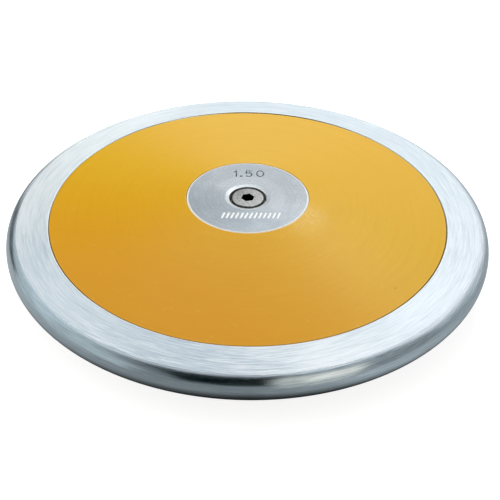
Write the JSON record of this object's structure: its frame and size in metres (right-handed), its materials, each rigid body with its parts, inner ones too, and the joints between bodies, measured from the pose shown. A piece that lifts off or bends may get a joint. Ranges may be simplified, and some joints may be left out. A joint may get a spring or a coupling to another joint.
{
  "type": "throwing discus",
  "caption": "Round throwing discus: metal rim with a round edge, tapered gold plastic sides, and flat metal centre plates clamped by a flush socket-head bolt.",
  "frame": {"origin": "centre of the discus, on the spin axis and halfway through the thickness", "axes": "+Z along the spin axis, towards the bolt's head; the barrel nut's head faces -Z; X and Y lie in the middle plane"},
  "size_m": [0.201, 0.201, 0.0384],
  "materials": {
    "rim_steel": "bright zinc, brushed round the circumference",
    "gold_plastic": "satin gold",
    "plate_aluminium": "fine turned",
    "fastener_steel": "satin, turned head",
    "plain_steel": "plain pressed sheet",
    "seal_rubber": "matt black"
  },
  "bodies": {
    "root": {"rim": "rim_steel", "upper_side_plate": "gold_plastic", "lower_side_plate": "gold_plastic", "upper_centre_plate": "plate_aluminium", "lower_centre_plate": "plate_aluminium", "upper_seal_ring": "seal_rubber", "lower_seal_ring": "seal_rubber", "hub_core": "plate_aluminium", "centre_bolt": "fastener_steel", "barrel_nut": "fastener_steel", "lock_washer": "plain_steel", "flat_washer": "plain_steel", "upper_trim_shim_1": "plain_steel", "lower_trim_shim_1": "plain_steel", "upper_ballast_ring_1": "plain_steel", "upper_ballast_ring_2": "plain_steel", "lower_ballast_ring_1": "plain_steel", "lower_ballast_ring_2": "plain_steel"}
  },
  "joints": []
}
